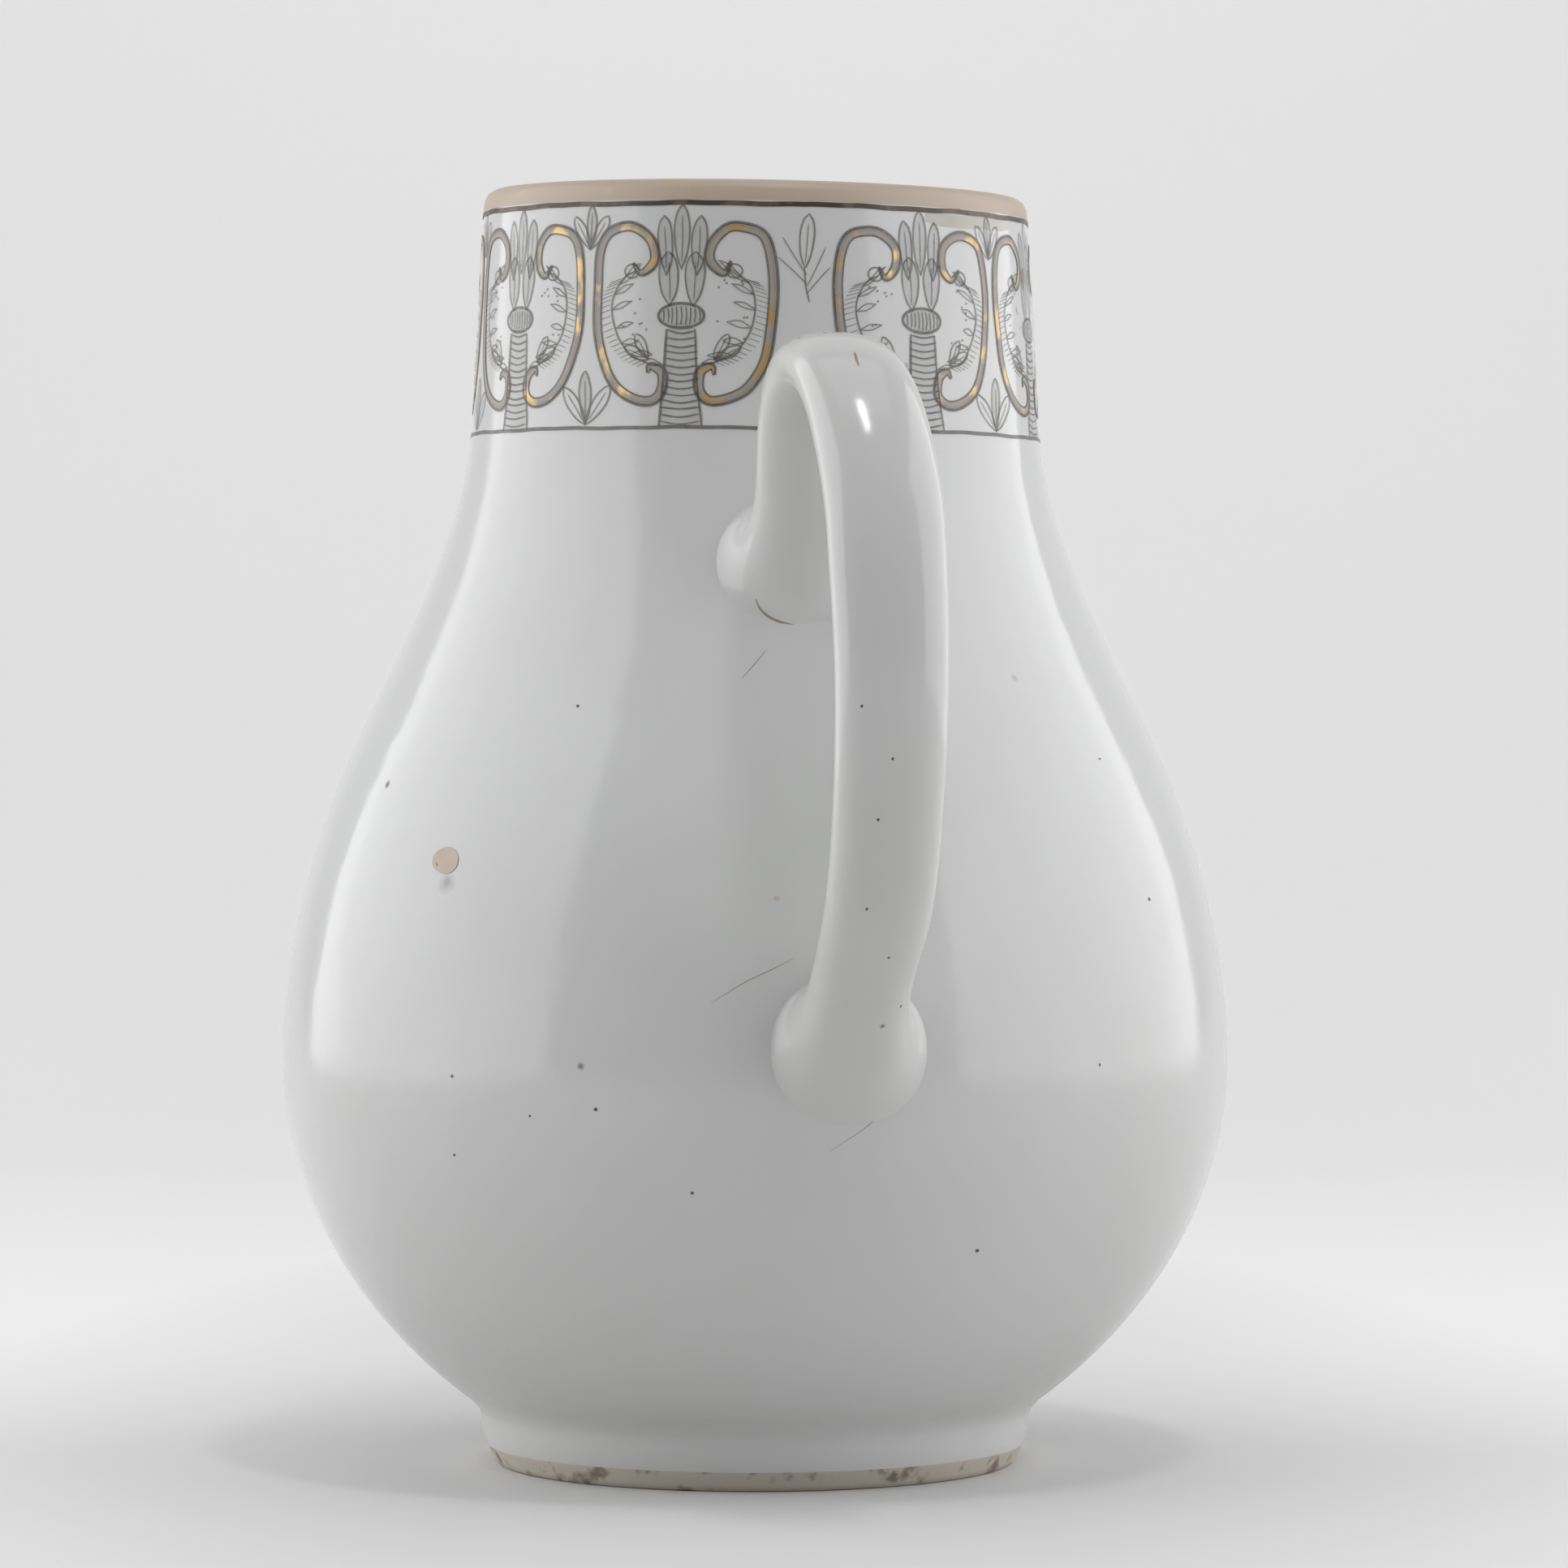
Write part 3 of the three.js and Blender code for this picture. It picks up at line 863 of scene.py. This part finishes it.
def stroke(paint, points, width, taper=0.5, steps=None, lift=None):
    """A ribbon through points (along, up), widest in its middle."""
    verts, faces = strokes[paint]
    steps = steps or max(6, 4 * (len(points) - 1))
    line = through(points, steps)
    height = PAINT_LIFT.get(paint, 0.06) if lift is None else lift
    first = len(verts)
    for i, (a, b) in enumerate(line):
        before, after = line[max(i - 1, 0)], line[min(i + 1, steps)]
        dx, dy = after[0] - before[0], after[1] - before[1]
        size = math.hypot(dx, dy) or 1
        share = i / steps
        full = 1 - taper + taper * end_swell(share)
        half = width / 2 * full
        nx, ny = -dy / size * half, dx / size * half
        verts.append(place_on_neck(a + nx, b + ny, height))
        verts.append(place_on_neck(a - nx, b - ny, height))
        if i:
            k = first + 2 * i
            faces.append((k - 2, k - 1, k + 1, k))


def patch(paint, points, lift=None):
    """A filled shape with a smooth outline round its middle."""
    verts, faces = strokes[paint]
    line = through(points + [points[0]], 5 * len(points))[:-1]
    height = PAINT_LIFT.get(paint, 0.03) if lift is None else lift
    centre = (sum(p[0] for p in line) / len(line), sum(p[1] for p in line) / len(line))
    first = len(verts)
    verts.append(place_on_neck(*centre, height))
    for a, b in line:
        verts.append(place_on_neck(a, b, height))
    for i in range(len(line)):
        faces.append((first, first + 1 + i, first + 1 + (i + 1) % len(line)))


# %% [markdown]
# The motifs: a palm with a hatched trunk, a bound knot and two tiers of leaves, and at each side a
# C scroll with small sprays in it. Every copy is drawn by hand, so each shifts a little.

# %% Motifs
PALM_ANGLES = (25, 66, 107, 148)


def shaky(points, amount=0.09):
    return [(a + rng.uniform(-amount, amount), b + rng.uniform(-amount, amount)) for a, b in points]


def mirrored(points, middle_line, flip):
    return [(middle_line + flip * a, b) for a, b in points]


def leaf(x, y, lean, length, width, wash=True):
    """A long leaf from its foot (x, y), leaning by an angle from upright."""
    dx, dy = math.sin(lean), math.cos(lean)
    nx, ny = dy, -dx

    def at(share, side):
        reach = length * share
        return (x + dx * reach + nx * width * side, y + dy * reach + ny * width * side)

    left = [at(0, 0), at(0.25, 0.36), at(0.6, 0.5), at(0.86, 0.34), at(1, 0)]
    right = [at(0, 0), at(0.25, -0.36), at(0.6, -0.5), at(0.86, -0.34), at(1, 0)]
    if wash:
        patch("wash", left + right[1:-1][::-1])
    stroke("ink", shaky(left, 0.05), 0.17)
    stroke("ink", shaky(right, 0.05), 0.14)
    stroke("ink", shaky([at(0.12, 0), at(0.45, 0.03), at(0.82, 0)], 0.03), 0.10)


KNOT_UP = 9.9
KNOT_HALF = 2.05


def trunk(middle_line):
    shape = [(-1.85, 0.1), (-1.5, 4.0), (-1.25, 8.7), (1.25, 8.7), (1.5, 4.0), (1.85, 0.1)]
    patch("wash", [(middle_line + a, b) for a, b in shape])
    for i in range(14):
        up = 0.45 + 8.0 * i / 13
        half = 1.85 - 0.55 * up / 8.6
        line = [(middle_line - half, up + 0.14), (middle_line, up - 0.12), (middle_line + half, up + 0.12)]
        stroke("ink", shaky(line, 0.06), 0.13 + rng.uniform(0, 0.05), 0.7)
    for sign in (-1, 1):
        edge = [(middle_line + sign * half, up) for half, up in ((1.9, 0.05), (1.5, 4), (1.25, 8.7))]
        stroke("ink", shaky(edge, 0.06), 0.24 if sign < 0 else 0.17, 0.2)


def knot(middle_line):
    outline = [
        (middle_line + KNOT_HALF * math.cos(t * math.pi / 6), KNOT_UP + 1.1 * math.sin(t * math.pi / 6))
        for t in range(12)
    ]
    patch("wash", outline)
    stroke("ink", outline + [outline[0]], 0.26, 0.1, 40)
    for i in range(9):
        x = middle_line - 1.6 + 3.2 * i / 8
        half = 0.85 * math.sqrt(max(1 - ((x - middle_line) / KNOT_HALF) ** 2, 0.05))
        stroke("ink", shaky([(x, KNOT_UP - half), (x + 0.06, KNOT_UP), (x, KNOT_UP + half)], 0.04), 0.14)


def palm(middle_line):
    trunk(middle_line)
    knot(middle_line)
    for side in (-1, 1):
        leaf(middle_line + side * 1.05, 10.7, side * 0.04, 4.9, 1.75)
    for side in (-1, 0, 1):
        leaf(middle_line + side * 1.35, 14.0 - 0.5 * abs(side), side * 0.06, 5.4 + 0.5 * (side == 0), 1.35)


SCROLL = [
    (-4.4, 14.7), (-3.6, 13.7), (-2.6, 14.7), (-2.7, 16.4), (-3.9, 17.6), (-5.3, 17.8), (-6.9, 17.2),
    (-7.8, 15.6), (-8.05, 12.5), (-7.8, 8.8), (-7.1, 5.8), (-5.9, 3.8), (-4.3, 2.7), (-2.6, 2.4),
    (-1.6, 3.3), (-1.7, 4.8), (-2.6, 5.3), (-3.0, 4.7),
]
STEM = [(-2.6, 5.6), (-4.4, 6.4), (-5.8, 8.2), (-6.5, 10.6), (-6.0, 12.6), (-4.9, 13.6)]
SCROLL_STEPS = 90


def beside(line, distance):
    """A line at a distance to the left of another, which narrows towards its ends."""
    made = []
    last = len(line) - 1
    for i, (a, b) in enumerate(line):
        before, after = line[max(i - 1, 0)], line[min(i + 1, last)]
        dx, dy = after[0] - before[0], after[1] - before[1]
        size = math.hypot(dx, dy) or 1
        swell = distance * (0.15 + 0.85 * end_swell(i / last))
        made.append((a - dy / size * swell, b + dx / size * swell))
    return made


def scroll_band(middle_line, flip):
    path = mirrored(shaky(SCROLL, 0.12), middle_line, flip)
    stroke("gilt", path, 0.70, 0.85, SCROLL_STEPS)
    line = through(path, SCROLL_STEPS)
    outside = -flip
    stroke("ink", beside(line, 0.40 * outside), 0.27, 0.4, SCROLL_STEPS)
    stroke("ink", beside(line, -0.38 * outside), 0.16, 0.3, SCROLL_STEPS)
    stroke("wash", beside(line, 0.20 * outside), 0.36, 0.6, SCROLL_STEPS, 0.05)


def sprays(middle_line, flip):
    stem = through(mirrored(shaky(STEM, 0.1), middle_line, flip), 24)
    stroke("ink", stem, 0.17, 0.4, 24)
    for i in range(2, 24, 3):
        a, b = stem[i]
        reach = 1.7 + rng.uniform(-0.3, 0.5)
        droop = -0.25 + i * 0.045
        tip = (a + flip * reach, b + droop * reach)
        for swell in (0.3, -0.2):
            belly = (a + flip * reach * 0.5, b + droop * reach * 0.5 + swell)
            stroke("ink", shaky([(a, b), belly, tip], 0.05), 0.11)
    for i in range(1, 23):
        a, b = stem[i]
        stroke("ink", [(a - flip * 0.15, b), (a - flip * (0.9 + 0.02 * i), b - 0.35)], 0.07)
    for lean in (0.5, 1.1):
        leaf(middle_line - flip * 2.9, 6.0, -flip * lean, 2.6, 0.9, wash=False)
    berry = []
    for i in range(8):
        turn = i * math.pi / 4
        berry.append((middle_line + flip * (-4.6 + 0.7 * math.cos(turn)), 13.9 + 0.62 * math.sin(turn)))
    stroke("ink", berry + [berry[0]], 0.15, 0.2, 24)
    for _ in range(9):
        a = middle_line + flip * rng.uniform(-5.8, -2.9)
        b = rng.uniform(7.5, 13)
        stroke("ink", [(a, b), (a + 0.14, b + 0.16)], 0.16)


def scroll(middle_line, flip):
    scroll_band(middle_line, flip)
    sprays(middle_line, flip)


def sprig(middle_line, foot, size, spread=0.5):
    """Three leaves that fan upwards from one foot."""
    for side in (-1, 0, 1):
        lean = side * spread + rng.uniform(-0.06, 0.06)
        leaf(middle_line, foot, lean, size * (1 - 0.12 * abs(side)), size * 0.26, wash=side == 0)


def ring_line(paint, up, width, wave, lift):
    count = 180
    points = []
    for i in range(count + 1):
        along = BORDER_RADIUS * (math.pi * 2 * i / count)
        points.append((along, up + wave * (math.sin(i * 0.42) + 0.6 * math.sin(i * 1.13 + 1)) / 1.6))
    stroke(paint, points, width, 0.0, count * 2, lift)


BORDER_TOP = GILT_EDGE - BORDER_BASE - 0.3
SPRIG_ANGLES = (45.5, 86.5, 127.5)
# Thin side sprays of the upright leaf: reach to the side, height of the foot and height of the tip
SPRAYS = ((-2.1, 13.6, 17.0), (-2.5, 12.8, 15.2), (1.7, 12.6, 16.2), (2.1, 12.0, 14.4))


def upright_leaf(middle_line):
    """The slender leaf that fills the gap over the handle and under the beak."""
    leaf(middle_line - 0.2, 14.2, 0.1, 5.0, 1.3, wash=False)
    stem = [(middle_line - 0.2, 14.2), (middle_line - 0.1, 12.6), (middle_line + 0.2, 11.2)]
    stroke("ink", stem, 0.14)
    for reach, foot, tip in SPRAYS:
        bend = (middle_line + reach * 0.6, (foot + tip) / 2 + 0.3)
        stroke("ink", [(middle_line, foot), bend, (middle_line + reach, tip)], 0.1)


def border_side(sign):
    """Half of the border, from the handle round to the beak."""
    for degrees in PALM_ANGLES:
        centre = sign * math.radians(degrees) * BORDER_RADIUS
        palm(centre)
        scroll(centre, 1)
        scroll(centre, -1)
    for degrees in SPRIG_ANGLES:
        between = sign * math.radians(degrees) * BORDER_RADIUS
        sprig(between, 15.9, 4.0)
        sprig(between, 0.3, 4.8, 0.65)


border_side(-1)
border_side(1)
for between in (0.0, math.pi * BORDER_RADIUS):
    upright_leaf(between)
    sprig(between, 0.3, 5.0, 0.7)
ring_line("ink", 0.0, 0.34, 0.06, 0.05)
ring_line("rim_ink", BORDER_TOP, 0.46, 0.06, 0.05)
stain_line = [(along, BORDER_TOP - drop) for along, drop in ((11.5, 0.7), (15, 0.9), (19, 0.8), (24, 0.7))]
stroke("stain", stain_line, 1.2, 0.4, 30, 0.02)


def stroke_mesh(paint):
    verts, faces = strokes[paint]

    def build(mesh):
        mesh.from_pydata([tuple(v) for v in verts], [], faces)

    return build


for paint, name, material in (
    ("wash", "border_wash", WASH),
    ("gilt", "border_gilding", SCROLL_GILT),
    ("ink", "border_lines", INK),
    ("rim_ink", "rim_line", RIM_INK),
    ("stain", "rim_stain", STAIN),
):
    painted = make_object(name, stroke_mesh(paint))
    painted.data.materials.append(material)
    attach(painted, "root")
    print(name, "faces", len(painted.data.polygons))

# %% [markdown]
# Firing left marks in the glaze. To put a mark where the photograph has it, a ray goes from the
# camera through its pixel to the skin, and the mark is built there, so it stays from every side.

# %% Where a pixel meets the skin
PHOTO_SIDE = 1932
depsgraph = bpy.context.evaluated_depsgraph_get()
skin_tree = BVHTree.FromObject(body, depsgraph)
handle_tree = BVHTree.FromObject(handle, depsgraph)
view = camera.rotation_euler.to_matrix()


def seen_at(px, py, tree):
    """Where the ray through a pixel of the photograph meets a skin, and its normal there."""
    x = (px / PHOTO_SIDE - 0.5) * SENSOR_WIDTH
    y = (0.5 - py / PHOTO_SIDE) * SENSOR_WIDTH
    direction = (view @ Vector((x, y, -camera_data.lens))).normalized()
    place, normal, _, _ = tree.ray_cast(eye, direction)
    return place, normal


print("skin in the photograph's middle", seen_at(PHOTO_SIDE / 2, PHOTO_SIDE / 2, skin_tree)[0])

# %% [markdown]
# A bare spot, iron specks and the grey of a dimple are small dabs on the glaze. Each is a fan of faces
# with a slightly uneven edge, raised a little in its middle. The dimple's grey is painted shade: its
# dabs shrink and stack, so it is darkest in the middle, where the hollow is most in shadow.

# %% Spots and specks
DAB_SIDES = 24
DAB_LIFT = 0.015
SPECK_DOME = 0.03
HANDLE_SPECK = (0.22, 0.26)
DIMPLE_RINGS = 4
# Specks of iron on the body: pixel, width and height
BODY_SPECKS = (
    (734, 1367, 0.35, 0.3), (712, 870, 0.3, 0.3), (1204, 1541, 0.4, 0.3), (1416, 1108, 0.4, 0.35),
    (557, 1326, 0.3, 0.25), (560, 1423, 0.25, 0.25), (1355, 935, 0.3, 0.2), (1355, 1312, 0.25, 0.25),
    (653, 1375, 0.25, 0.2), (853, 1470, 0.3, 0.25), (549, 1066, 0.9, 0.16), (551, 1071, 0.3, 0.5),
)
HANDLE_SPECKS = ((1062, 870), (1100, 935), (1082, 1010), (1068, 1120), (1095, 1180), (1110, 1240))


def mark_material(name, roughness, patch_scale, dark, light):
    material, tree, shader = new_material(name, dark, roughness)
    grain = add_group(tree, WORN, Patch_Scale=patch_scale, Amount=0.5).outputs["Grain"]
    tree.links.new(blend_colors(tree, grain, dark, light), shader.inputs["Base Color"])
    return material


def dab_edge(place, normal, width, height, px, py):
    """The points of a dab's uneven edge."""
    side = Vector((0, 0, 1)).cross(normal).normalized()
    up = normal.cross(side)
    points = []
    for i in range(DAB_SIDES):
        turn = 2 * math.pi * i / DAB_SIDES
        half = (1 + 0.07 * math.sin(2 * turn + px) + 0.03 * math.sin(3 * turn + py)) * MM / 2
        offset = side * math.cos(turn) * width * half + up * math.sin(turn) * height * half
        points.append(place + offset + normal * (DAB_LIFT * MM))
    return points


def dab_mesh(spots):
    def build(mesh):
        verts, faces = [], []
        for px, py, width, height, tree, dome in spots:
            place, normal = seen_at(px, py, tree)
            if place is None:
                print("no skin at", px, py)
                continue
            first = len(verts)
            verts.append(place + normal * (dome * MM))
            verts.extend(dab_edge(place, normal, width, height, px, py))
            for i in range(DAB_SIDES):
                faces.append((first, first + 1 + i, first + 1 + (i + 1) % DAB_SIDES))
        mesh.from_pydata([tuple(v) for v in verts], [], faces)

    return build


def add_dabs(name, spots, material):
    dabs = make_object(name, dab_mesh(spots))
    dabs.data.materials.append(material)
    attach(dabs, "root")
    print(name, "faces", len(dabs.data.polygons))


DARK_MARK = mark_material("iron_speck", 0.4, 900, (0.05, 0.03, 0.02), (0.2, 0.13, 0.09))
BEIGE_MARK = mark_material("bare_kiln_spot", 0.6, 600, (0.66, 0.56, 0.49), (0.5, 0.38, 0.3))
specks = [(px, py, width, height, skin_tree, SPECK_DOME) for px, py, width, height in BODY_SPECKS]
specks += [(px, py, *HANDLE_SPECK, handle_tree, SPECK_DOME) for px, py in HANDLE_SPECKS]
bare_spots = [(549, 1060, 3.0, 2.5, skin_tree, 0.05), (957, 1107, 0.5, 0.45, skin_tree, 0.02)]
# Painted shade of the dimple's hollow: grey dabs that shrink and stack, darkest in the middle
dimple = [
    (551, 1088, 2.3 - 0.5 * i, 1.9 - 0.4 * i, skin_tree, 0.01 + 0.01 * i) for i in range(DIMPLE_RINGS)
]
add_dabs("iron_specks", specks, DARK_MARK)
add_dabs("kiln_spot", bare_spots, BEIGE_MARK)
add_dabs("dimple_shade_dabs", dimple, DIMPLE_SHADE)

# %% [markdown]
# Thin brown lines run where the handle was joined, across the bare spot and here and there in the
# glaze. Each is a ribbon through a few pixels of the photograph. It ends where a ray passes the
# skin's edge and meets something further off.

# %% Hairlines
# In millimetres: how far a line may run from its first point, and how high it lies
HAIRLINE_REACH = 16
HAIRLINE_LIFT = 0.03
# The pixels of each line, its width in millimetres and the skin it lies on
HAIRLINES = (
    ([(931, 738), (938, 752), (955, 764), (985, 772), (1010, 771), (1027, 767)], 0.22, handle_tree),
    ([(1053, 434), (1055, 442), (1058, 451)], 0.24, handle_tree),
    ([(1125, 1290), (1122, 1320), (1105, 1352), (1068, 1388), (1022, 1419)], 0.08, skin_tree),
    ([(876, 1236), (915, 1212), (950, 1195), (980, 1180)], 0.07, skin_tree),
    ([(914, 836), (930, 818), (945, 800)], 0.08, skin_tree),
    ([(537, 1057), (539, 1066), (546, 1071), (552, 1067), (557, 1070), (563, 1064)], 0.2, skin_tree),
)


def hairline_hits(pixels, tree):
    hits = [seen_at(px, py, tree) for px, py in through(pixels, 6 * len(pixels))]
    hits = [hit for hit in hits if hit[0] is not None]
    return [hit for hit in hits if (hit[0] - hits[0][0]).length < HAIRLINE_REACH * MM]


def hairline_mesh(mesh):
    verts, faces = [], []
    for pixels, width, tree in HAIRLINES:
        hits = hairline_hits(pixels, tree)
        for i, (place, normal) in enumerate(hits):
            before, after = hits[max(i - 1, 0)][0], hits[min(i + 1, len(hits) - 1)][0]
            side = normal.cross(after - before).normalized()
            half = width / 2 * MM * (0.35 + 0.65 * math.sin(math.pi * (i + 0.5) / len(hits)))
            for sign in (1, -1):
                verts.append(place + side * half * sign + normal * HAIRLINE_LIFT * MM)
            if i:
                k = len(verts)
                faces.append((k - 4, k - 3, k - 1, k - 2))
    mesh.from_pydata([tuple(v) for v in verts], [], faces)


hairlines = make_object("hairlines", hairline_mesh)
hairlines.data.materials.append(HAIRLINE)
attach(hairlines, "root")
print("hairline faces", len(hairlines.data.polygons))
